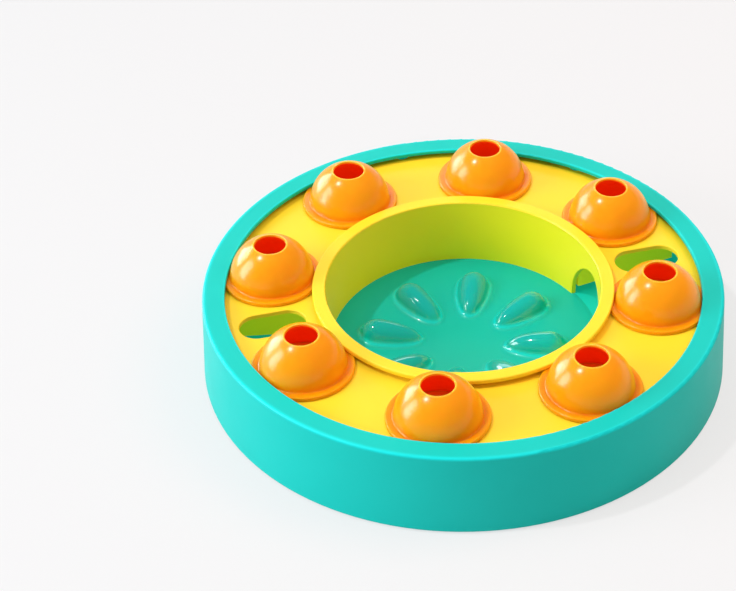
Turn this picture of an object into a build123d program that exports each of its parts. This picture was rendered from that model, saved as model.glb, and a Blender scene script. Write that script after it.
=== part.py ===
from build123d import *
import os
from math import acos, asin, atan2, degrees, hypot, radians, sqrt, tan

# Puzzle feeder bowl in millimetres, +Z up, origin on the resting plane under the middle of the bowl.
# +X runs along one feeding slot and the arch below it. The domes rest midway between the screws.

# Layout
FULL_TURN = 360
QUARTER_TURN = FULL_TURN / 4
DOME_COUNT = 8
SLOT_COUNT = 2
TAB_COUNT = 4
DOME_PITCH = FULL_TURN / DOME_COUNT
CUT_OVERRUN = 5.0

# Domes and the ring that they slide round
TRACK_RADIUS = 112.2
DOME_RADIUS = 24.4
DOME_WALL = 2.0
DOME_LIP_CLEARANCE = 0.6
FILL_HOLE_RADIUS = 9.2
FILL_HOLE_LAND = 0.7
FILL_HOLE_EDGE = 0.25
FLANGE_WIDTH = 4.3
FLANGE_THICKNESS = 2.4
FLANGE_EDGE = 0.8
FLANGE_ROOT = 1.0
FLANGE_SLIDE_CLEARANCE = 0.3
FLANGE_LIP_CLEARANCE = 0.4

# Outer shell
FOOT_STANDOFF = 1.0
SHELL_HEIGHT = 50.5
SHELL_WALL = 2.8
SHELL_FLARE = 2.5
RIM_WIDTH = 12.8
LIP_THICKNESS = 2.5
RIM_OUTER_EDGE = 1.4
RIM_INNER_EDGE = 0.7
SHELL_FOOT_EDGE = 0.8
HOLD_DOWN_WIDTH = 2.0
HOLD_DOWN_CLEARANCE = 2.6
BOSS_RADIUS = 4.1
BOSS_INSET = 5.4
BOSS_HEIGHT = 16.0
BOSS_WEB = 2.5

# Track disc
DECK_THICKNESS = 2.6
DECK_EDGE_CLEARANCE = 0.5
NOTCH_CLEARANCE = 0.5
SLOT_LENGTH = 38.5
SLOT_WIDTH = 21.0
SLOT_EDGE = 0.5
CHUTE_WALL = 2.0
CHUTE_FLARE_ANGLE = 10.5
CHUTE_FLOOR_GAP = 4.8
RIB_WIDTH = 2.0
RIB_BOSS_GAP = 1.5
HUB_WIDTH = 2.0
HUB_DEPTH = 3.0

# Inner collar
COLLAR_RIM_WIDTH = 7.8
COLLAR_DRAFT = 1.5
COLLAR_WALL = 2.5
COLLAR_EDGE = 0.8
COLLAR_SEAT_CLEARANCE = 0.4
SHOULDER_CLEARANCE = 0.4
ARCH_RADIUS = 23.5
ARCH_SPRINGING = 5.8
ARCH_EDGE = 0.7
TAB_WIDTH = 10.0
TAB_THICKNESS = 1.5
TAB_HOOK = 0.9
TAB_HOOK_HEIGHT = 2.0
TAB_CLEARANCE = 0.1
TAB_FLEX = 0.8

# Base plate
FLOOR_HEIGHT = 9.2
FLOOR_DISH = 4.1
PLATE_THICKNESS = 2.5
PLATE_EDGE_CLEARANCE = 0.4
PLATE_SKIRT = 2.0
PLATE_RECESS = 0.6
BUMP_HEIGHT = 10.5
BUMP_SINK = 0.5
BUMP_WALL = 1.6

# Bumps, as shares of the bowl floor's radius, and of a bump's length to its broadest place
BUMP_START_SHARE = 0.315
BUMP_END_SHARE = 0.788
BUMP_WIDTH_SHARE = 0.239
BUMP_FOOT_SHARE = 0.064
BUMP_BROADEST_SHARE = 0.72

# Screws and feet
SCREW_SHANK_RADIUS = 1.4
SCREW_LENGTH = 10.0
SCREW_POINT = 1.6
SCREW_HEAD_RADIUS = 2.8
SCREW_HEAD_HEIGHT = 2.0
SCREW_HEAD_EDGE = 0.6
SCREW_SOCKET_WIDTH = 0.7
SCREW_SOCKET_DEPTH = 1.1
SCREW_PILOT_CLEARANCE = 0.05
SCREW_PASS_CLEARANCE = 0.3
SCREW_HEAD_CLEARANCE = 0.4
SCREW_TIP_CLEARANCE = 1.5
FOOT_RADIUS = 7.0
FOOT_THICKNESS = 3.0
FOOT_EDGE = 0.6
FOOT_INSET = 24.0
FOOT_CLEARANCE = 0.2
FOOT_POST_WALL = 2.0

# Levels above the resting plane
foot_level = FOOT_STANDOFF
rim_level = foot_level + SHELL_HEIGHT
lip_level = rim_level - LIP_THICKNESS
flange_level = lip_level - FLANGE_LIP_CLEARANCE - FLANGE_THICKNESS
deck_level = flange_level - FLANGE_SLIDE_CLEARANCE
deck_underside = deck_level - DECK_THICKNESS
floor_level = foot_level + FLOOR_HEIGHT
floor_underside = floor_level - PLATE_THICKNESS
plate_foot = foot_level + PLATE_RECESS

# Radii from the lips on either side of the domes
flange_radius = DOME_RADIUS + FLANGE_WIDTH
rim_lip_radius = TRACK_RADIUS + DOME_RADIUS + DOME_LIP_CLEARANCE
rim_radius = rim_lip_radius + RIM_WIDTH
shell_foot_radius = rim_radius + SHELL_FLARE
hold_down_radius = TRACK_RADIUS + flange_radius + HOLD_DOWN_CLEARANCE
boss_ring_radius = rim_radius - BOSS_INSET
collar_lip_radius = TRACK_RADIUS - DOME_RADIUS - DOME_LIP_CLEARANCE
collar_rim_radius = collar_lip_radius - COLLAR_RIM_WIDTH
collar_floor_radius = collar_rim_radius - COLLAR_DRAFT
shoulder_radius = TRACK_RADIUS - flange_radius - SHOULDER_CLEARANCE


def shell_bore(level):
    """Inside radius of the shell's wall at a level."""
    drop_share = (rim_level - level) / SHELL_HEIGHT
    return rim_radius + SHELL_FLARE * drop_share - SHELL_WALL


def collar_outside(level):
    """Outside radius of the collar's wall at a level."""
    drop_share = (rim_level - level) / (rim_level - floor_level)
    return collar_rim_radius - COLLAR_DRAFT * drop_share + COLLAR_WALL


deck_radius = shell_bore(deck_level) - DECK_EDGE_CLEARANCE
deck_bore = collar_outside(deck_level) + COLLAR_SEAT_CLEARANCE
plate_radius = shell_bore(floor_level) - PLATE_EDGE_CLEARANCE
foot_ring_radius = plate_radius - FOOT_INSET


def turned(face):
    """Solid of a face, drawn as radius and height, turned about the Z axis."""
    return revolve(Plane.XZ * face, Axis.Z)


def outline(*points):
    """Face inside straight lines through the points."""
    return make_face(Polyline(*points, close=True))


def rounded(face, point, radius):
    """Face with the corner nearest to a point rounded off."""
    return fillet(face.vertices().sort_by_distance((*point, 0))[0], radius)


def upright(radius, bottom, top):
    """Cylinder about the Z axis between two levels."""
    return Pos(0, 0, bottom) * extrude(Circle(radius), top - bottom)


def pipe(inner, outer, bottom, top):
    """Ring about the Z axis between two levels."""
    return upright(outer, bottom, top) - upright(inner, bottom - CUT_OVERRUN, top + CUT_OVERRUN)


def spoke(width, reach, bottom, top):
    """Bar from the Z axis out along +X between two levels."""
    return Pos(reach / 2, 0, bottom) * extrude(Rectangle(reach, width), top - bottom)


def around(piece, count, start=0):
    """Copies of a piece, evenly spaced about the Z axis."""
    return [Rot(0, 0, start + FULL_TURN * i / count) * piece for i in range(count)]


def between(edges, inner, outer):
    """Edges that start between two distances from the Z axis."""
    return [e for e in edges if inner < hypot((e @ 0).X, (e @ 0).Y) < outer]


def make_outer_shell():
    """Drafted wall under a flat rim, with a ring that holds the deck down and a boss for each screw."""
    lip_corner = (rim_lip_radius, rim_level)
    rim_corner = (rim_radius, rim_level)
    foot_corner = (shell_foot_radius, foot_level)
    profile = outline(
        foot_corner, rim_corner, lip_corner, (rim_lip_radius, lip_level),
        (hold_down_radius, lip_level), (hold_down_radius, deck_level),
        (hold_down_radius + HOLD_DOWN_WIDTH, deck_level), (hold_down_radius + HOLD_DOWN_WIDTH, lip_level),
        (shell_bore(lip_level), lip_level), (shell_bore(foot_level), foot_level))
    profile = rounded(profile, rim_corner, RIM_OUTER_EDGE)
    profile = rounded(profile, lip_corner, RIM_INNER_EDGE)
    profile = rounded(profile, foot_corner, SHELL_FOOT_EDGE)

    boss_top = floor_level + BOSS_HEIGHT
    web = spoke(BOSS_WEB, rim_radius, floor_level, boss_top) - upright(boss_ring_radius, 0, rim_level)
    boss = Pos(boss_ring_radius, 0, 0) * upright(BOSS_RADIUS, floor_level, boss_top) + web
    pilot_top = floor_underside + SCREW_LENGTH + SCREW_TIP_CLEARANCE
    pilot = upright(SCREW_SHANK_RADIUS + SCREW_PILOT_CLEARANCE, floor_level, pilot_top)
    boss -= Pos(boss_ring_radius, 0, 0) * pilot
    return turned(profile) + around(boss, DOME_COUNT)


def make_slot():
    """One feeding slot, as a radial bar with round ends, centred under the path of the domes."""
    bar = extrude(SlotOverall(SLOT_LENGTH, SLOT_WIDTH), DECK_THICKNESS + 2 * CUT_OVERRUN)
    return Pos(TRACK_RADIUS, 0, deck_underside - CUT_OVERRUN) * bar


def make_chute():
    """Two side walls that spread from an arch to the shell, with less than a piece of food below them."""
    start = collar_outside(floor_level)
    spread = tan(radians(CHUTE_FLARE_ANGLE)) * (deck_radius - start)
    outside = ARCH_RADIUS + CHUTE_WALL
    side = outline((start, ARCH_RADIUS), (deck_radius, ARCH_RADIUS + spread),
                   (deck_radius, outside + spread), (start, outside), (0, outside), (0, ARCH_RADIUS))
    wall_foot = floor_level + CHUTE_FLOOR_GAP
    wall = Pos(0, 0, wall_foot) * extrude(side, deck_underside - wall_foot)
    return wall + mirror(wall, Plane.XZ)


def make_track_disc():
    """Deck with slots and screw notches, chute walls below it and ribs that stand on the base plate."""
    support_bore = collar_outside(deck_underside) + COLLAR_SEAT_CLEARANCE
    notch_radius = BOSS_RADIUS + NOTCH_CLEARANCE
    rib_end = boss_ring_radius - notch_radius - RIB_BOSS_GAP
    ribs = around(spoke(RIB_WIDTH, rib_end, floor_level, deck_underside), DOME_COUNT)
    slot_pitch = DOME_COUNT // SLOT_COUNT
    supports = [rib for i, rib in enumerate(ribs) if i % slot_pitch]
    supports += around(make_chute(), SLOT_COUNT)
    room = pipe(support_bore, deck_radius, floor_level, deck_underside)

    notch = Pos(boss_ring_radius, 0, 0) * upright(notch_radius, 0, rim_level)
    notch += spoke(2 * notch_radius, rim_radius, 0, rim_level) - upright(boss_ring_radius, 0, rim_level)
    deck = pipe(deck_bore, deck_radius, deck_underside, deck_level)
    deck -= around(make_slot(), SLOT_COUNT)
    top_edges = deck.edges().filter_by_position(Axis.Z, deck_level, deck_level)
    deck = fillet(between(top_edges, collar_lip_radius, rim_lip_radius), SLOT_EDGE)
    hub = pipe(deck_bore, deck_bore + HUB_WIDTH, deck_underside - HUB_DEPTH, deck_underside)
    return deck + hub + [support & room for support in supports] - around(notch, DOME_COUNT)


def make_inner_collar():
    """Tapering bowl wall with a lip over the dome flanges, two arches and snap tabs at its foot."""
    lip_corner = (collar_lip_radius, rim_level)
    bowl_corner = (collar_rim_radius, rim_level)
    profile = outline(
        (collar_floor_radius, floor_level), bowl_corner, lip_corner, (collar_lip_radius, lip_level),
        (shoulder_radius, lip_level), (shoulder_radius, deck_level),
        (collar_outside(deck_level), deck_level), (collar_outside(floor_level), floor_level))
    profile = rounded(profile, lip_corner, COLLAR_EDGE)
    profile = rounded(profile, bowl_corner, COLLAR_EDGE)
    wall = Rot(0, 0, QUARTER_TURN) * turned(profile)

    springing = floor_level + ARCH_SPRINGING
    jambs = Pos(0, springing / 2) * Rectangle(2 * ARCH_RADIUS, springing)
    arch = Plane.YZ * (jambs + Pos(0, springing) * Circle(ARCH_RADIUS))
    wall -= extrude(arch, rim_radius, both=True)
    arch_edges = wall.edges().filter_by_position(Axis.Y, -ARCH_RADIUS, ARCH_RADIUS)
    arch_edges = arch_edges.filter_by(Axis.X, reverse=True)
    wall = fillet(between(arch_edges, 0, collar_rim_radius), ARCH_EDGE)

    tab_outer = collar_outside(floor_level)
    tab_inner = tab_outer - TAB_THICKNESS
    hook_bottom = floor_underside - TAB_HOOK_HEIGHT
    tab = turned(outline((tab_inner, floor_level), (tab_outer, floor_level), (tab_outer, floor_underside),
                         (tab_outer + TAB_HOOK, floor_underside), (tab_outer, hook_bottom),
                         (tab_inner, hook_bottom)))
    tab &= spoke(TAB_WIDTH, rim_radius, 0, rim_level)
    return wall + around(tab, TAB_COUNT, FULL_TURN / TAB_COUNT / 2)


def dish_level(radius, drop=0):
    """Level of the dished floor, or of a surface below it, at a distance from the Z axis."""
    sphere_radius = (collar_floor_radius**2 + FLOOR_DISH**2) / (2 * FLOOR_DISH)
    return floor_level - FLOOR_DISH + sphere_radius - sqrt(sphere_radius**2 - radius**2) - drop


def dish_line(drop):
    """Section of the dished floor, or of a surface below it, from the middle out to the bowl's wall."""
    stations = (0, collar_floor_radius / 2, collar_floor_radius)
    return ThreePointArc(*[(radius, dish_level(radius, drop)) for radius in stations])


def make_egg(wall, sweep):
    """Egg lying outwards along the dished floor, a wall's thickness inside a bump, turned on its side."""
    start = BUMP_START_SHARE * collar_floor_radius
    end = BUMP_END_SHARE * collar_floor_radius
    climb = dish_level(end) - dish_level(start)
    length = hypot(end - start, climb)
    broadest = BUMP_BROADEST_SHARE * length
    half_width = BUMP_WIDTH_SHARE * collar_floor_radius / 2 - wall
    middle = (broadest, 0)
    narrow_reach = broadest - wall
    blunt_reach = length - broadest - wall
    narrow_end = EllipticalCenterArc(middle, narrow_reach, half_width, QUARTER_TURN, arc_size=QUARTER_TURN)
    blunt_end = EllipticalCenterArc(middle, blunt_reach, half_width, 0, arc_size=QUARTER_TURN)
    half = make_face([narrow_end, blunt_end, Line((wall, 0), (length - wall, 0))])
    egg = scale(revolve(half, Axis.X, sweep), by=(1, 1, (BUMP_HEIGHT - wall) / half_width))
    slope = degrees(atan2(climb, end - start))
    return Pos(start, 0, dish_level(start, BUMP_SINK)) * Rot(0, -slope, 0) * egg


def make_bowl_floor():
    """Dished floor in a flat surround, with hollow bumps blended into it."""
    top = dish_line(0)
    underside = dish_line(PLATE_THICKNESS)
    surround = Polyline(top @ 1, (plate_radius, floor_level), (plate_radius, floor_underside), underside @ 1)
    section = make_face([top, underside, Line(top @ 0, underside @ 0), *surround.edges()])
    bumps = around(make_egg(0, FULL_TURN / 2), DOME_COUNT, DOME_PITCH / 2)
    floor = turned(section) + bumps
    dish = max(floor.faces(), key=lambda face: len(face.inner_wires()))
    bump_edges = [edge for wire in dish.inner_wires() for edge in wire.edges()]
    floor = fillet(bump_edges, BUMP_FOOT_SHARE * collar_floor_radius)
    return floor - around(make_egg(BUMP_WALL, FULL_TURN), DOME_COUNT, DOME_PITCH / 2)


def make_base_plate():
    """Bowl floor on a skirt, with seats for the screws, feet and snap tabs."""
    skirt = pipe(plate_radius - PLATE_SKIRT, plate_radius, plate_foot, floor_underside)

    seat = Pos(boss_ring_radius, 0, 0) * upright(BOSS_RADIUS, plate_foot, floor_underside)
    socket_radius = FOOT_RADIUS + FOOT_CLEARANCE
    post = upright(socket_radius + FOOT_POST_WALL, plate_foot, floor_underside)
    plate = make_bowl_floor() + skirt + around(seat, DOME_COUNT)
    plate += around(Pos(foot_ring_radius, 0, 0) * post, DOME_COUNT, DOME_PITCH / 2)

    screw_hole = upright(SCREW_SHANK_RADIUS + SCREW_PASS_CLEARANCE, 0, rim_level)
    screw_hole += upright(SCREW_HEAD_RADIUS + SCREW_HEAD_CLEARANCE, 0, floor_underside)
    socket = Pos(foot_ring_radius, 0, 0) * upright(socket_radius, 0, FOOT_THICKNESS)
    tab_outer = collar_outside(floor_level)
    tab_hole = pipe(tab_outer - TAB_THICKNESS - TAB_FLEX, tab_outer + TAB_CLEARANCE, 0, rim_level)
    tab_hole &= spoke(TAB_WIDTH + 2 * TAB_CLEARANCE, rim_radius, 0, rim_level)
    holes = around(Pos(boss_ring_radius, 0, 0) * screw_hole, DOME_COUNT)
    holes += around(socket, DOME_COUNT, DOME_PITCH / 2)
    holes += around(tab_hole, TAB_COUNT, FULL_TURN / TAB_COUNT / 2)
    return plate - holes


def make_dome():
    """Hollow hemisphere on a flange, with a fill hole through its top, standing at the origin."""
    centre = FLANGE_THICKNESS / 2
    land_radius = FILL_HOLE_RADIUS + FILL_HOLE_LAND
    inner_radius = DOME_RADIUS - DOME_WALL
    land_top = centre + sqrt(DOME_RADIUS**2 - land_radius**2)
    bore_foot = centre + sqrt(inner_radius**2 - FILL_HOLE_RADIUS**2)
    root_radius = sqrt(DOME_RADIUS**2 - centre**2)
    start = degrees(asin(centre / DOME_RADIUS))
    outside = CenterArc((0, centre), DOME_RADIUS, start, degrees(acos(land_radius / DOME_RADIUS)) - start)
    inside = CenterArc((0, centre), inner_radius, 0, degrees(acos(FILL_HOLE_RADIUS / inner_radius)))
    rim = Polyline((land_radius, land_top), (FILL_HOLE_RADIUS, land_top), (FILL_HOLE_RADIUS, bore_foot))
    flange = Polyline((inner_radius, centre), (inner_radius, 0), (flange_radius, 0),
                      (flange_radius, FLANGE_THICKNESS), (root_radius, FLANGE_THICKNESS))
    profile = make_face([outside, inside, *rim.edges(), *flange.edges()])
    profile = rounded(profile, (flange_radius, FLANGE_THICKNESS), FLANGE_EDGE)
    profile = rounded(profile, (root_radius, FLANGE_THICKNESS), FLANGE_ROOT)
    profile = rounded(profile, (land_radius, land_top), FILL_HOLE_EDGE)
    profile = rounded(profile, (FILL_HOLE_RADIUS, land_top), FILL_HOLE_EDGE)
    return turned(profile)


def make_screw():
    """Self-tapping screw, head down, with its head's seat at the underside of the floor."""
    head_bottom = floor_underside - SCREW_HEAD_HEIGHT
    tip = floor_underside + SCREW_LENGTH
    head_corner = (SCREW_HEAD_RADIUS, head_bottom)
    profile = outline(
        (0, head_bottom), head_corner, (SCREW_HEAD_RADIUS, floor_underside),
        (SCREW_SHANK_RADIUS, floor_underside), (SCREW_SHANK_RADIUS, tip - SCREW_POINT), (0, tip))
    screw = turned(rounded(profile, head_corner, SCREW_HEAD_EDGE))
    blade = Rectangle(2 * SCREW_SHANK_RADIUS, SCREW_SOCKET_WIDTH)
    cross = extrude(blade + Rot(0, 0, QUARTER_TURN) * blade, SCREW_SOCKET_DEPTH)
    return screw - Pos(0, 0, head_bottom) * cross


def make_foot():
    """Rubber pad with a rounded lower edge, standing at the origin."""
    corner = (FOOT_RADIUS, 0)
    profile = outline((0, 0), corner, (FOOT_RADIUS, FOOT_THICKNESS), (0, FOOT_THICKNESS))
    return turned(rounded(profile, corner, FOOT_EDGE))


pieces = {
    "outer_shell": make_outer_shell(),
    "base_plate": make_base_plate(),
    "track_disc": make_track_disc(),
    "inner_collar": make_inner_collar(),
    "base_screws": Compound(around(Pos(boss_ring_radius, 0, 0) * make_screw(), DOME_COUNT)),
}
domes = around(Pos(TRACK_RADIUS, 0, flange_level) * make_dome(), DOME_COUNT, DOME_PITCH / 2)
feet = around(Pos(foot_ring_radius, 0, 0) * make_foot(), DOME_COUNT, DOME_PITCH / 2)
for number in range(DOME_COUNT):
    pieces[f"dome_{number + 1}"] = domes[number]
    pieces[f"foot_pad_{number + 1}"] = feet[number]

os.makedirs("parts", exist_ok=True)
for name, piece in pieces.items():
    export_step(piece, f"parts/{name}.step")
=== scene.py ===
from math import radians, tau
import bmesh
import bpy
from mathutils import Matrix, Vector


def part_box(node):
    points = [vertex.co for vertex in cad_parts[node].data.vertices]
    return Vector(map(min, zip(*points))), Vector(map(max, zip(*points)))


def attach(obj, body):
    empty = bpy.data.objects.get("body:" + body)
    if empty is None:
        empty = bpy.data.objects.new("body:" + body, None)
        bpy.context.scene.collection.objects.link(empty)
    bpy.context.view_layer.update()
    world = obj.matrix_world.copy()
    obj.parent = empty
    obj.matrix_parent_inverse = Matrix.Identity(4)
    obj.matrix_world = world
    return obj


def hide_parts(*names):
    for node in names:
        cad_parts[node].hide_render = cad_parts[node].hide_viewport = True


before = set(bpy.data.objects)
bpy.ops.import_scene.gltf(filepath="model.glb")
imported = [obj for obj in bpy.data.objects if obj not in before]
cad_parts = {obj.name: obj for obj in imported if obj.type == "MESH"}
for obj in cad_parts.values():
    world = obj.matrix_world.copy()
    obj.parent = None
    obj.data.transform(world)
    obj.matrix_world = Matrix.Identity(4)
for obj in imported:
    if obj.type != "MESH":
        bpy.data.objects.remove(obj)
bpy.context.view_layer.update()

# Puzzle feeder bowl in metres: moulded teal, yellow and orange plastic, rubber feet and zinc-plated screws.
# The shapes come from the frame. These sizes say where edges and walls are, so that finishes and painted
# light and shade follow them.
DOME_COUNT = 8
DOME_PITCH = tau / DOME_COUNT
TRACK_RADIUS = 0.1122
DOME_RADIUS = 0.0244
DOME_WALL = 0.0020
FILL_HOLE_LIP_RADIUS = 0.0097
FLANGE_THICKNESS = 0.0024
RIM_EDGE_INSET = 0.0030
RIM_LIP_RADIUS = 0.1372
SHELL_WALL_MIDDLE = 0.15115
SHELL_DRAFT = 0.0495
DECK_UNDERSIDE = 0.0433
BOWL_WALL_MIDDLE = 0.0799
COLLAR_LIP_WIDTH = 0.0078
FLOOR_LEVEL = 0.0102
FLOOR_MIDDLE = 0.0061
FLOOR_SPHERE_RADIUS = 0.742

shell_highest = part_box("outer_shell")[1]
collar_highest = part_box("inner_collar")[1]
dome_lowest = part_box("dome_1")[0]
RIM_LEVEL = shell_highest.z
RIM_EDGE_RADIUS = shell_highest.x - RIM_EDGE_INSET
COLLAR_EDGE_RADII = (collar_highest.x, collar_highest.x - COLLAR_LIP_WIDTH)
FLANGE_TOP = dome_lowest.z + FLANGE_THICKNESS
DOME_CENTRE_LEVEL = dome_lowest.z + FLANGE_THICKNESS / 2

# How far polish and the painted edge highlights reach from an edge, and where the bumps' gloss and each
# painted glow, shade, highlight and bounce colour starts and where it is full
RIM_EDGE_REACH = 0.0024
LIP_EDGE_REACH = 0.0016
BUMP_WET_RISE = (0.0002, 0.0014)
BUMP_FOOT_RISE = (0.0034, 0.0012)
BUMP_CROWN_RISE = (0.0020, 0.0070)
CHUTE_FLOOR_HEIGHT = (FLOOR_LEVEL - 0.0008, FLOOR_LEVEL - 0.0002)
CHUTE_WALL_HEIGHT = (DECK_UNDERSIDE + 0.0010, DECK_UNDERSIDE - 0.0020)
COLLAR_INSIDE_RADIUS = (BOWL_WALL_MIDDLE + 0.0002, BOWL_WALL_MIDDLE - 0.0002)
COLLAR_INSIDE_HEIGHT = (RIM_LEVEL - 0.0004, RIM_LEVEL - 0.0016)
DOME_INSIDE_RADIUS = (DOME_RADIUS - DOME_WALL * 0.55, DOME_RADIUS - DOME_WALL * 0.90)
CREASE_DISTANCE = (0.0042, 0.0006)
FILL_HOLE_LIP_DISTANCE = (0.0009, 0.0002)

# Foot pads with ring grooves in their soles
FOOT_EDGE = 0.0006
FOOT_GROOVE_RADII = (0.0018, 0.0036, 0.0054)
FOOT_GROOVE_WIDTH = 0.0012
FOOT_GROOVE_DEPTH = 0.0006
FOOT_STEPS = 64
FOOT_SHARP_ANGLE = radians(35)

# The view: how the bowl is turned under the camera, and the camera's own place and lens
BOWL_TURN = radians(15.45)
CAMERA_BACK = 0.94925
CAMERA_HEIGHT = 0.78567
CAMERA_TILT = radians(37.72)
CAMERA_ROLL = radians(-0.315)
CAMERA_LENS = 101.79
CAMERA_SENSOR = 36.0
CAMERA_SHIFT = (-0.1294, -0.0171)
CAMERA_NEAR = 0.01

# The studio: the key lamp, the round floor, the air's light on matt and in gloss, and the lamps' colours
KEY_STRENGTH = 1.05
KEY_WIDTH = radians(2.5)
KEY_DIRECTION = (0.46, 0.01, -0.888)
STUDIO_RADIUS = 6.0
STUDIO_HEIGHT = 1.5
STUDIO_SIDES = 96
AIR_ON_MATT = 0.40
AIR_IN_GLOSS = 0.20
WHITE_LIGHT = (1.00, 1.00, 1.00)
COOL_LIGHT = (0.93, 0.98, 1.08)
WARM_LIGHT = (1.00, 0.45, 0.28)

# Finishes, with painted light and shade among them, in linear colour
TEAL = (0.007, 0.575, 0.505, 1.0)
TEAL_DEEP = (0.005, 0.530, 0.460, 1.0)
TEAL_EDGE_HIGHLIGHT = (0.010, 0.780, 0.780, 1.0)
TEAL_GLOW = (0.000, 1.000, 0.900, 1.0)
CYAN_GLOW = (0.000, 0.900, 1.000, 1.0)
FLOOR_TEAL = (0.006, 0.500, 0.390, 1.0)
FLOOR_TEAL_DEEP = (0.005, 0.460, 0.350, 1.0)
BUMP_CROWN_PAINTED_SHADE = (0.003, 0.440, 0.390, 1.0)
BUMP_FOOT_PAINTED_GLOW = (0.006, 0.760, 0.740, 1.0)
CYAN_SHEEN = (0.100, 1.000, 0.950, 1.0)
YELLOW = (0.940, 0.700, 0.028, 1.0)
YELLOW_DEEP = (0.930, 0.655, 0.018, 1.0)
LEMON = (0.940, 0.735, 0.028, 1.0)
LEMON_DEEP = (0.930, 0.700, 0.018, 1.0)
LEMON_EDGE_HIGHLIGHT = (0.960, 0.800, 0.055, 1.0)
LIME_PAINTED_BOUNCE = (0.920, 0.840, 0.016, 1.0)
LIME_GLOW = (1.000, 0.900, 0.010, 1.0)
ORANGE = (0.980, 0.360, 0.003, 1.0)
ORANGE_DEEP = (0.970, 0.325, 0.002, 1.0)
ORANGE_LIP_HIGHLIGHT = (1.000, 0.620, 0.060, 1.0)
GOLD_SHEEN = (1.000, 0.720, 0.020, 1.0)
RED_CREASE_SHADE = (0.900, 0.110, 0.003, 1.0)
PAINTED_RED_INSIDE = (0.880, 0.045, 0.001, 1.0)
RED_GLOW = (1.000, 0.040, 0.000, 1.0)
NO_GLOW = (0.000, 0.000, 0.000, 1.0)
RUBBER = (0.030, 0.030, 0.032, 1.0)
RUBBER_WORN = (0.075, 0.075, 0.080, 1.0)
ZINC = (0.620, 0.620, 0.640, 1.0)
ZINC_DULL = (0.450, 0.450, 0.480, 1.0)
PALE = (0.680, 0.680, 0.680, 1.0)
PALE_SHADE = (0.200, 0.200, 0.200, 1.0)
PALE_GLOW = (0.665, 0.675, 0.680, 1.0)
AIR_WHITE = (1.000, 1.000, 1.000, 1.0)

# Roughness where drift is least and most, what polish or dullness adds to it, and the depth of the grain
SHELL_ROUGHNESS = (0.40, 0.46)
FLOOR_ROUGHNESS = (0.34, 0.40)
DECK_ROUGHNESS = (0.36, 0.42)
COLLAR_ROUGHNESS = (0.30, 0.36)
DOME_ROUGHNESS = (0.20, 0.24)
RUBBER_ROUGHNESS = (0.70, 0.88)
ZINC_ROUGHNESS = (0.28, 0.46)
RIM_POLISH = -0.12
BUMP_POLISH = -0.26
COLLAR_POLISH = -0.10
DOME_INSIDE_DULLNESS = 0.35
SATIN_GRAIN = 0.00012
FLOOR_GRAIN = 0.00010
DOME_GRAIN = 0.00004
RUBBER_GRAIN = 0.00020
ZINC_GRAIN = 0.00005
GRAIN_STRENGTH = 0.25
DRIFT_RANGE = (0.3, 0.7)

# Colour sockets of a Mix node, by number because its sockets for plain values have the same names
MIX_SHARE = 0
MIX_FIRST = 6
MIX_SECOND = 7
MIX_RESULT = 2


def put(tree, kind, settings=(), values=()):
    """New node with its settings, and its inputs as plain values or as outputs of other nodes."""
    made = tree.nodes.new(kind)
    for name, value in dict(settings).items():
        setattr(made, name, value)
    for name, value in dict(values).items():
        if isinstance(value, bpy.types.NodeSocket):
            tree.links.new(value, made.inputs[name])
        else:
            made.inputs[name].default_value = value
    return made


def calc(tree, operation, *values):
    """Result of a Math node."""
    return put(tree, "ShaderNodeMath", {"operation": operation}, enumerate(values)).outputs[0]


def sum_of_squares(tree, first, second):
    """First squared plus second squared."""
    return calc(tree, "MULTIPLY_ADD", first, first, calc(tree, "MULTIPLY", second, second))


def diagonal(tree, first, second):
    """Length of the diagonal between two lengths at right angles."""
    return calc(tree, "POWER", sum_of_squares(tree, first, second), 0.5)


def ramp(tree, value, start, end):
    """Smooth rise from 0 at start to 1 at end."""
    settings = {"interpolation_type": "SMOOTHSTEP"}
    values = {"Value": value, "From Min": start, "From Max": end}
    return put(tree, "ShaderNodeMapRange", settings, values).outputs["Result"]


def between(tree, share, low, high):
    """Number that runs from low to high with a share."""
    values = {"Value": share, "To Min": low, "To Max": high}
    return put(tree, "ShaderNodeMapRange", {}, values).outputs["Result"]


def mixed(tree, share, first, second):
    """Colour that runs from the first to the second with a share."""
    values = {MIX_SHARE: share, MIX_FIRST: first, MIX_SECOND: second}
    return put(tree, "ShaderNodeMix", {"data_type": "RGBA"}, values).outputs[MIX_RESULT]


def tinted(tree, colour, mask, tint, share):
    """Colour that takes on a share of a tint where the mask is full."""
    return mixed(tree, calc(tree, "MULTIPLY", mask, share), colour, tint)


def place_on_bowl(tree):
    """X, Y and Z of a point of the surface, in the bowl's frame."""
    place = put(tree, "ShaderNodeTexCoord").outputs["Object"]
    return put(tree, "ShaderNodeSeparateXYZ", {}, {"Vector": place}).outputs


def new_group(name, inputs, outputs):
    """Empty node group with its sockets, and the sockets of its input and output nodes."""
    group = bpy.data.node_groups.new(name, "ShaderNodeTree")
    for label in inputs:
        group.interface.new_socket(label, in_out="INPUT", socket_type="NodeSocketFloat")
    for label in outputs:
        group.interface.new_socket(label, in_out="OUTPUT", socket_type="NodeSocketFloat")
    return group, group.nodes.new("NodeGroupInput").outputs, group.nodes.new("NodeGroupOutput").inputs


def make_moulded_skin():
    """Moulded plastic's skin: fine grain as a height, and slow drift in colour."""
    group, given, result = new_group("moulded_skin", ("Grain Scale", "Drift Scale"), ("Grain", "Drift"))
    place = put(group, "ShaderNodeTexCoord").outputs["Object"]
    fine = {"Vector": place, "Scale": given["Grain Scale"], "Detail": 2.0}
    slow = {"Vector": place, "Scale": given["Drift Scale"], "Detail": 3.0}
    grain = put(group, "ShaderNodeTexNoise", {}, fine).outputs[0]
    drift = put(group, "ShaderNodeTexNoise", {}, slow).outputs[0]
    group.links.new(grain, result["Grain"])
    group.links.new(ramp(group, drift, *DRIFT_RANGE), result["Drift"])
    return group


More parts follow.
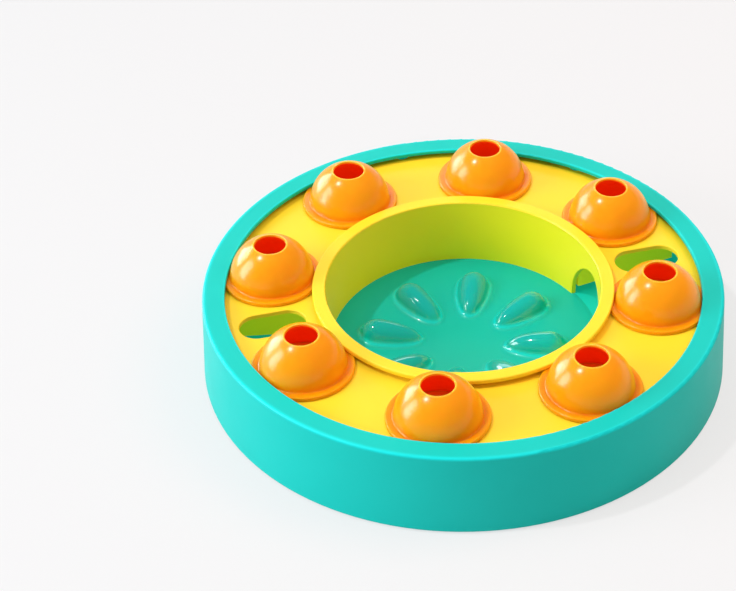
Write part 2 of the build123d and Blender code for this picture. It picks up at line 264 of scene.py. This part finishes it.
def make_turned_edge():
    """Share of nearness to a round edge about the Z axis, given as its radius, its height and its reach."""
    group, given, result = new_group("turned_edge", ("Radius", "Height", "Reach"), ("Edge",))
    x, y, z = place_on_bowl(group)
    out = calc(group, "SUBTRACT", diagonal(group, x, y), given["Radius"])
    up = calc(group, "SUBTRACT", z, given["Height"])
    group.links.new(ramp(group, diagonal(group, out, up), given["Reach"], 0.0), result["Edge"])
    return group


def make_ring_station():
    """Distance to the nearest dome's centre on a ring about the Z axis, in all and from its upright axis."""
    group, given, result = new_group("ring_station", ("Ring Radius", "Height"), ("Distance", "Across"))
    x, y, z = place_on_bowl(group)
    turn = calc(group, "DIVIDE", calc(group, "ARCTAN2", y, x), DOME_PITCH)
    angle = calc(group, "MULTIPLY", calc(group, "SUBTRACT", calc(group, "FRACT", turn), 0.5), DOME_PITCH)
    radius = diagonal(group, x, y)
    along = calc(group, "MULTIPLY", radius, calc(group, "COSINE", angle))
    out = calc(group, "SUBTRACT", along, given["Ring Radius"])
    side = calc(group, "MULTIPLY", radius, calc(group, "SINE", angle))
    up = calc(group, "SUBTRACT", z, given["Height"])
    across_squared = sum_of_squares(group, out, side)
    distance = calc(group, "POWER", calc(group, "MULTIPLY_ADD", up, up, across_squared), 0.5)
    group.links.new(distance, result["Distance"])
    group.links.new(calc(group, "POWER", across_squared, 0.5), result["Across"])
    return group


moulded_skin = make_moulded_skin()
turned_edge = make_turned_edge()
ring_station = make_ring_station()


def new_material(name):
    """Material with its tree and its shader."""
    material = bpy.data.materials.new(name)
    material.use_nodes = True
    return material, material.node_tree, material.node_tree.nodes["Principled BSDF"]


def use_group(tree, group, **values):
    """Outputs of a shared group, placed in a material with its own values."""
    named = {name.replace("_", " "): value for name, value in values.items()}
    return put(tree, "ShaderNodeGroup", {"node_tree": group}, named).outputs


def drifting(tree, drift, light, deep, roughness, share):
    """Colour and roughness that drift over a surface, the colour by a share of the way to the deep one."""
    return tinted(tree, light, drift, deep, share), between(tree, drift, *roughness)


def finish_surface(tree, shader, colour, roughness, grain, depth):
    """Links colour, roughness and the bump of a grain to the shader."""
    bump = put(tree, "ShaderNodeBump", {}, {"Height": grain, "Strength": GRAIN_STRENGTH, "Distance": depth})
    tree.links.new(colour, shader.inputs["Base Color"])
    tree.links.new(roughness, shader.inputs["Roughness"])
    tree.links.new(bump.outputs[0], shader.inputs["Normal"])


def paint_glow(tree, shader, mask, colour, strength):
    """Painted glow: emission that stands in for light shining through thin plastic, where the mask is full.
    """
    tree.links.new(mixed(tree, mask, NO_GLOW, colour), shader.inputs["Emission Color"])
    shader.inputs["Emission Strength"].default_value = strength


def set_sockets(shader, values):
    """Plain values of a shader's own sockets."""
    for name, value in values.items():
        shader.inputs[name].default_value = value


def make_teal_shell():
    """Satin teal wall and rim, polished along both edges of the rim, with a painted highlight along those
    edges and a painted cyan glow on the wall inside.
    """
    material, tree, shader = new_material("satin_teal")
    skin = use_group(tree, moulded_skin, Grain_Scale=2600.0, Drift_Scale=22.0)
    outer = use_group(tree, turned_edge, Radius=RIM_EDGE_RADIUS, Height=RIM_LEVEL, Reach=RIM_EDGE_REACH)
    inner = use_group(tree, turned_edge, Radius=RIM_LIP_RADIUS, Height=RIM_LEVEL, Reach=LIP_EDGE_REACH)
    edges = calc(tree, "MAXIMUM", outer["Edge"], inner["Edge"])
    colour, rough = drifting(tree, skin["Drift"], TEAL, TEAL_DEEP, SHELL_ROUGHNESS, share=0.35)
    # Painted highlight: the rim's edges are tinted lighter cyan; the polish on them is in the roughness.
    colour = tinted(tree, colour, edges, TEAL_EDGE_HIGHLIGHT, share=0.8)
    rough = calc(tree, "MULTIPLY_ADD", edges, RIM_POLISH, rough)
    finish_surface(tree, shader, colour, rough, skin["Grain"], SATIN_GRAIN)
    x, y, z = place_on_bowl(tree)
    wall_middle = calc(tree, "MULTIPLY_ADD", z, -SHELL_DRAFT, SHELL_WALL_MIDDLE)
    inside = calc(tree, "LESS_THAN", diagonal(tree, x, y), wall_middle)
    inside = calc(tree, "MULTIPLY", inside, calc(tree, "LESS_THAN", z, DECK_UNDERSIDE))
    # Painted glow: cyan emission on the wall's inside, below the deck.
    paint_glow(tree, shader, inside, CYAN_GLOW, strength=0.13)
    set_sockets(shader, {"Specular IOR Level": 0.10})
    return material


def make_teal_floor():
    """Teal bowl floor, with bumps as glossy as wet glass, painted shade on their crowns, a painted cyan glow
    round their feet and a cyan sheen that paints a rim glow at grazing angles, and a painted teal glow in
    the chutes.
    """
    material, tree, shader = new_material("wet_teal")
    skin = use_group(tree, moulded_skin, Grain_Scale=2400.0, Drift_Scale=26.0)
    x, y, z = place_on_bowl(tree)
    radius_squared = sum_of_squares(tree, x, y)
    dish = calc(tree, "MULTIPLY_ADD", radius_squared, 0.5 / FLOOR_SPHERE_RADIUS, FLOOR_MIDDLE)
    rise = calc(tree, "SUBTRACT", z, dish)
    wet = ramp(tree, rise, *BUMP_WET_RISE)
    dry = between(tree, wet, 1.0, 0.0)
    foot = calc(tree, "MULTIPLY", wet, ramp(tree, rise, *BUMP_FOOT_RISE))
    colour, rough = drifting(tree, skin["Drift"], FLOOR_TEAL, FLOOR_TEAL_DEEP, FLOOR_ROUGHNESS, share=0.35)
    # Painted shade: the bumps' crowns are darker, standing in for the depth of translucent plastic.
    colour = mixed(tree, ramp(tree, rise, *BUMP_CROWN_RISE), colour, BUMP_CROWN_PAINTED_SHADE)
    # Painted glow: a bright cyan band round the bumps' feet.
    colour = tinted(tree, colour, foot, BUMP_FOOT_PAINTED_GLOW, share=0.7)
    rough = calc(tree, "MULTIPLY_ADD", wet, BUMP_POLISH, rough)
    grain = calc(tree, "MULTIPLY", skin["Grain"], dry)
    finish_surface(tree, shader, colour, rough, grain, FLOOR_GRAIN)
    outside_bowl = calc(tree, "GREATER_THAN", radius_squared, BOWL_WALL_MIDDLE**2)
    chute = calc(tree, "MULTIPLY", outside_bowl, ramp(tree, z, *CHUTE_FLOOR_HEIGHT))
    # Painted glow: teal emission on the floor in the chutes.
    paint_glow(tree, shader, chute, TEAL_GLOW, strength=0.15)
    tree.links.new(wet, shader.inputs["Coat Weight"])
    # The cyan-tinted sheen paints a cyan rim glow on the bumps' edges at grazing angles, and a faint one on
    # the floor.
    set_sockets(shader, {
        "Coat Roughness": 0.04,
        "Coat IOR": 1.44,
        "Specular IOR Level": 0.18,
        "Sheen Weight": 0.50,
        "Sheen Roughness": 0.25,
        "Sheen Tint": CYAN_SHEEN,
    })
    return material


def make_yellow_disc():
    """Satin yellow deck, with painted lime below in the chutes that stands in for teal bounce light, and a
    painted lime glow there.
    """
    material, tree, shader = new_material("satin_yellow")
    skin = use_group(tree, moulded_skin, Grain_Scale=2600.0, Drift_Scale=24.0)
    colour, rough = drifting(tree, skin["Drift"], YELLOW, YELLOW_DEEP, DECK_ROUGHNESS, share=0.30)
    below = ramp(tree, place_on_bowl(tree)["Z"], *CHUTE_WALL_HEIGHT)
    # Painted bounce light: below the deck the chute walls are lime, as if lit by light bounced from the
    # teal.
    finish_surface(tree, shader, mixed(tree, below, colour, LIME_PAINTED_BOUNCE), rough, skin["Grain"], SATIN_GRAIN)
    # Painted glow: lime emission on the chute walls.
    paint_glow(tree, shader, below, LIME_GLOW, strength=0.135)
    set_sockets(shader, {"Specular IOR Level": 0.25})
    return material


def make_yellow_collar():
    """Polished yellow collar, with painted lime inside the bowl that stands in for teal bounce light, and
    painted highlights along both edges of its lip.
    """
    material, tree, shader = new_material("polished_yellow")
    skin = use_group(tree, moulded_skin, Grain_Scale=2600.0, Drift_Scale=24.0)
    colour, rough = drifting(tree, skin["Drift"], LEMON, LEMON_DEEP, COLLAR_ROUGHNESS, share=0.30)
    x, y, z = place_on_bowl(tree)
    # Painted bounce light: the wall inside the bowl is lime, as if lit by light bounced from the teal floor.
    inward = ramp(tree, diagonal(tree, x, y), *COLLAR_INSIDE_RADIUS)
    below = ramp(tree, z, *COLLAR_INSIDE_HEIGHT)
    colour = mixed(tree, calc(tree, "MULTIPLY", inward, below), colour, LIME_PAINTED_BOUNCE)
    # Painted highlight: both edges of the lip are tinted lighter; the polish on them is in the roughness.
    for edge_radius in COLLAR_EDGE_RADII:
        near = use_group(tree, turned_edge, Radius=edge_radius, Height=RIM_LEVEL, Reach=LIP_EDGE_REACH)
        colour = tinted(tree, colour, near["Edge"], LEMON_EDGE_HIGHLIGHT, share=0.4)
        rough = calc(tree, "MULTIPLY_ADD", near["Edge"], COLLAR_POLISH, rough)
    finish_surface(tree, shader, colour, rough, skin["Grain"], SATIN_GRAIN)
    set_sockets(shader, {"Specular IOR Level": 0.25})
    return material


def make_orange_dome():
    """Glossy orange, with a painted highlight round the fill hole, painted red shade in the crease above the
    flange, painted red inside with a painted red glow, and a gold sheen that paints the yellow deck's
    reflection at the edges.
    """
    material, tree, shader = new_material("gloss_orange")
    skin = use_group(tree, moulded_skin, Grain_Scale=1800.0, Drift_Scale=40.0)
    station = use_group(tree, ring_station, Ring_Radius=TRACK_RADIUS, Height=DOME_CENTRE_LEVEL)
    inside = ramp(tree, station["Distance"], *DOME_INSIDE_RADIUS)
    outside = ramp(tree, inside, 0.5, 0.0)
    up = calc(tree, "SUBTRACT", place_on_bowl(tree)["Z"], FLANGE_TOP)
    out = calc(tree, "SUBTRACT", station["Across"], DOME_RADIUS)
    crease = ramp(tree, diagonal(tree, up, out), *CREASE_DISTANCE)
    off_lip = calc(tree, "ABSOLUTE", calc(tree, "SUBTRACT", station["Across"], FILL_HOLE_LIP_RADIUS))
    lip = calc(tree, "MULTIPLY", ramp(tree, off_lip, *FILL_HOLE_LIP_DISTANCE), outside)
    colour, rough = drifting(tree, skin["Drift"], ORANGE, ORANGE_DEEP, DOME_ROUGHNESS, share=0.35)
    # Painted shade: the crease above the flange is tinted deeper red, as in shadowed light bounced between
    # orange surfaces.
    colour = tinted(tree, colour, crease, RED_CREASE_SHADE, share=0.3)
    # Painted light: the inside of the dome is red, standing in for light bounced inside and shining through
    # the orange.
    colour = mixed(tree, inside, colour, PAINTED_RED_INSIDE)
    # Painted highlight: a lighter ring round the fill hole.
    colour = tinted(tree, colour, lip, ORANGE_LIP_HIGHLIGHT, share=0.7)
    rough = calc(tree, "MULTIPLY_ADD", inside, DOME_INSIDE_DULLNESS, rough)
    finish_surface(tree, shader, colour, rough, skin["Grain"], DOME_GRAIN)
    # Painted glow: red emission inside the dome.
    paint_glow(tree, shader, inside, RED_GLOW, strength=0.16)
    # The gold-tinted sheen paints a yellow reflection of the deck on the dome's edges at grazing angles.
    set_sockets(shader, {
        "Specular IOR Level": 0.28,
        "Coat Weight": 0.10,
        "Coat Roughness": 0.20,
        "Sheen Weight": 0.60,
        "Sheen Roughness": 0.35,
        "Sheen Tint": GOLD_SHEEN,
        "Subsurface Weight": 0.60,
        "Subsurface Radius": (1.0, 0.35, 0.05),
        "Subsurface Scale": 0.0070,
    })
    return material


def make_foot_rubber():
    """Matt black rubber, rubbed grey in places."""
    material, tree, shader = new_material("matt_rubber")
    skin = use_group(tree, moulded_skin, Grain_Scale=3200.0, Drift_Scale=300.0)
    colour, rough = drifting(tree, skin["Drift"], RUBBER, RUBBER_WORN, RUBBER_ROUGHNESS, share=1.0)
    finish_surface(tree, shader, colour, rough, skin["Grain"], RUBBER_GRAIN)
    return material


def make_zinc():
    """Zinc plate on the screws, dull in patches."""
    material, tree, shader = new_material("zinc_plate")
    skin = use_group(tree, moulded_skin, Grain_Scale=4000.0, Drift_Scale=500.0)
    colour, rough = drifting(tree, skin["Drift"], ZINC, ZINC_DULL, ZINC_ROUGHNESS, share=1.0)
    finish_surface(tree, shader, colour, rough, skin["Grain"], ZINC_GRAIN)
    set_sockets(shader, {"Metallic": 1.0})
    return material


def dress(node, material):
    """Gives a CAD node its material."""
    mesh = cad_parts[node].data
    mesh.materials.clear()
    mesh.materials.append(material)


def add_object(name, data):
    """New object in the scene."""
    made = bpy.data.objects.new(name, data)
    bpy.context.scene.collection.objects.link(made)
    return made


def add_shape(name, shape, material):
    """New object in the scene from a bmesh, which is used up."""
    mesh = bpy.data.meshes.new(name)
    shape.to_mesh(mesh)
    shape.free()
    mesh.materials.append(material)
    return add_object(name, mesh)


def foot_profile(radius, low, high):
    """Half section of a foot pad, from the middle of its grooved sole to the middle of its top."""
    points = [(0, low)]
    for groove in FOOT_GROOVE_RADII:
        near = groove - FOOT_GROOVE_WIDTH / 2
        far = groove + FOOT_GROOVE_WIDTH / 2
        deep = low + FOOT_GROOVE_DEPTH
        points += [(near, low), (near, deep), (far, deep), (far, low)]
    return points + [(radius, low), (radius, high), (0, high)]


def on_foot_rim(point, radius, low):
    """Whether a point of a pad that stands on the Z axis is on the rim of its sole."""
    near = FOOT_EDGE / 10
    return abs(point.xy.length - radius) < near and abs(point.z - low) < near


def make_grooved_foot(number, material):
    """Rubber foot pad with ring grooves in its sole, in place of the plain pad."""
    low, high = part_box(f"foot_pad_{number}")
    radius = (high.x - low.x) / 2
    shape = bmesh.new()
    corners = [shape.verts.new((out, 0, up)) for out, up in foot_profile(radius, low.z, high.z)]
    sides = [shape.edges.new(pair) for pair in zip(corners, corners[1:])]
    bmesh.ops.spin(shape, geom=corners + sides, axis=(0, 0, 1), angle=tau, steps=FOOT_STEPS, use_merge=True)
    bmesh.ops.remove_doubles(shape, verts=shape.verts, dist=FOOT_EDGE / 100)
    bmesh.ops.recalc_face_normals(shape, faces=shape.faces)
    rim = [e for e in shape.edges if all(on_foot_rim(v.co, radius, low.z) for v in e.verts)]
    bmesh.ops.bevel(shape, geom=rim, offset=FOOT_EDGE, segments=3, profile=0.5, affect="EDGES", material=-1)
    bmesh.ops.translate(shape, verts=shape.verts, vec=((low.x + high.x) / 2, (low.y + high.y) / 2, 0))
    for face in shape.faces:
        face.smooth = True
    foot = add_shape(f"grooved_foot_{number}", shape, material)
    foot.data.set_sharp_from_angle(angle=FOOT_SHARP_ANGLE)
    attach(foot, "feeder_body")
    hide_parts(f"foot_pad_{number}")


orange = make_orange_dome()
rubber = make_foot_rubber()
dress("outer_shell", make_teal_shell())
dress("base_plate", make_teal_floor())
dress("track_disc", make_yellow_disc())
dress("inner_collar", make_yellow_collar())
dress("base_screws", make_zinc())
for number in range(1, DOME_COUNT + 1):
    dress(f"dome_{number}", orange)
    make_grooved_foot(number, rubber)


def in_view(right, away, up):
    """Point given by how far right of, behind and above the bowl's foot it is as the camera sees it."""
    return Matrix.Rotation(-BOWL_TURN, 3, "Z") @ Vector((right, away, up))


def facing(direction):
    """Turn of a lamp that shines in a direction."""
    return direction.to_track_quat("-Z", "Y").to_euler()


def make_camera():
    """Camera at the photo's angle, with the picture's own framing."""
    lens = bpy.data.cameras.new("camera")
    lens.sensor_width = CAMERA_SENSOR
    lens.lens = CAMERA_LENS
    lens.shift_x, lens.shift_y = CAMERA_SHIFT
    lens.clip_start = CAMERA_NEAR
    camera = add_object("camera", lens)
    camera.location = in_view(0, -CAMERA_BACK, CAMERA_HEIGHT)
    tilt = Matrix.Rotation(tau / 4 - CAMERA_TILT, 3, "X")
    turn = Matrix.Rotation(-BOWL_TURN, 3, "Z") @ tilt @ Matrix.Rotation(CAMERA_ROLL, 3, "Z")
    camera.rotation_euler = turn.to_euler()
    bpy.context.scene.camera = camera


def make_key():
    """Small high lamp at the left, as far away as the sun."""
    lamp = bpy.data.lights.new("key", "SUN")
    lamp.energy = KEY_STRENGTH
    lamp.angle = KEY_WIDTH
    key = add_object("key", lamp)
    key.rotation_euler = facing(in_view(*KEY_DIRECTION))


def make_panel(name, place, aim, size, power, in_gloss, colour=WHITE_LIGHT):
    """Soft rectangular lamp, placed and aimed in view, that shows in gloss or else lights matt surfaces."""
    lamp = bpy.data.lights.new(name, "AREA")
    lamp.shape = "RECTANGLE"
    lamp.size, lamp.size_y = size
    lamp.energy = power
    lamp.color = colour
    panel = add_object(name, lamp)
    panel.location = in_view(*place)
    panel.rotation_euler = facing(in_view(*aim) - in_view(*place))
    panel.visible_diffuse = not in_gloss
    panel.visible_glossy = in_gloss


def make_panels():
    """Two windows and a strip at the back that show in gloss, and three soft lamps for matt surfaces."""
    rim = (0, 0, RIM_LEVEL)
    make_panel("window_near", place=(-1.2, -0.08, 0.48), aim=(0, -0.08, 0.10), size=(0.49, 0.92),
               power=16, in_gloss=True)
    make_panel("window_far", place=(-1.2, 0.84, 0.44), aim=(0, 0.10, 0.10), size=(0.80, 0.86),
               power=24, in_gloss=True)
    make_panel("back_soft", place=(-0.30, 2.20, 1.15), aim=rim, size=(2.4, 0.6),
               power=14, in_gloss=True)
    make_panel("left_soft", place=(-1.50, -0.40, 0.70), aim=rim, size=(1.0, 0.8),
               power=19, in_gloss=False, colour=COOL_LIGHT)
    make_panel("right_soft", place=(0.90, 0.10, 1.30), aim=rim, size=(0.8, 0.8),
               power=9, in_gloss=False, colour=WARM_LIGHT)
    make_panel("overhead_soft", place=(0.10, 0.20, 1.80), aim=rim, size=(1.6, 1.6),
               power=8, in_gloss=False)


def make_pale_finish():
    """Matt pale floor that shows as a pale glow with shadows on it, and is clear from behind."""
    material, tree, shader = new_material("pale_floor")
    tree.nodes.remove(shader)
    rays = put(tree, "ShaderNodeLightPath").outputs
    seen = calc(tree, "MAXIMUM", rays["Is Camera Ray"], rays["Is Glossy Ray"])
    seen = calc(tree, "MAXIMUM", seen, rays["Is Transmission Ray"])
    matt = put(tree, "ShaderNodeBsdfDiffuse", {}, {"Color": PALE})
    shaded = put(tree, "ShaderNodeBsdfDiffuse", {}, {"Color": PALE_SHADE})
    glow = put(tree, "ShaderNodeEmission", {}, {"Color": PALE_GLOW})
    pale = put(tree, "ShaderNodeAddShader", {}, {0: shaded.outputs[0], 1: glow.outputs[0]})
    look = put(tree, "ShaderNodeMixShader", {}, {0: seen, 1: matt.outputs[0], 2: pale.outputs[0]})
    behind = put(tree, "ShaderNodeNewGeometry").outputs["Backfacing"]
    clear = put(tree, "ShaderNodeBsdfTransparent")
    whole = put(tree, "ShaderNodeMixShader", {}, {0: behind, 1: look.outputs[0], 2: clear.outputs[0]})
    tree.links.new(whole.outputs[0], tree.nodes["Material Output"].inputs["Surface"])
    return material


def make_floor():
    """Round floor with an upright backdrop at its edge, both facing inwards."""
    shape = bmesh.new()
    bmesh.ops.create_circle(shape, cap_ends=True, segments=STUDIO_SIDES, radius=STUDIO_RADIUS)
    rim = [e for e in shape.edges if e.is_boundary]
    raised = bmesh.ops.extrude_edge_only(shape, edges=rim)["geom"]
    top = [v for v in raised if isinstance(v, bmesh.types.BMVert)]
    bmesh.ops.translate(shape, verts=top, vec=(0, 0, STUDIO_HEIGHT))
    bmesh.ops.recalc_face_normals(shape, faces=shape.faces)
    bmesh.ops.reverse_faces(shape, faces=shape.faces)
    floor = add_shape("studio_floor", shape, make_pale_finish())


def make_air():
    """Even white light from all round, weaker in gloss."""
    world = bpy.data.worlds.new("studio_air")
    world.use_nodes = True
    tree = world.node_tree
    air = tree.nodes["Background"].inputs
    air["Color"].default_value = AIR_WHITE
    in_gloss = put(tree, "ShaderNodeLightPath").outputs["Is Glossy Ray"]
    tree.links.new(between(tree, in_gloss, AIR_ON_MATT, AIR_IN_GLOSS), air["Strength"])
    bpy.context.scene.world = world


make_camera()
make_key()
make_panels()
make_floor()
make_air()

bpy.context.scene.view_settings.view_transform = "Standard"
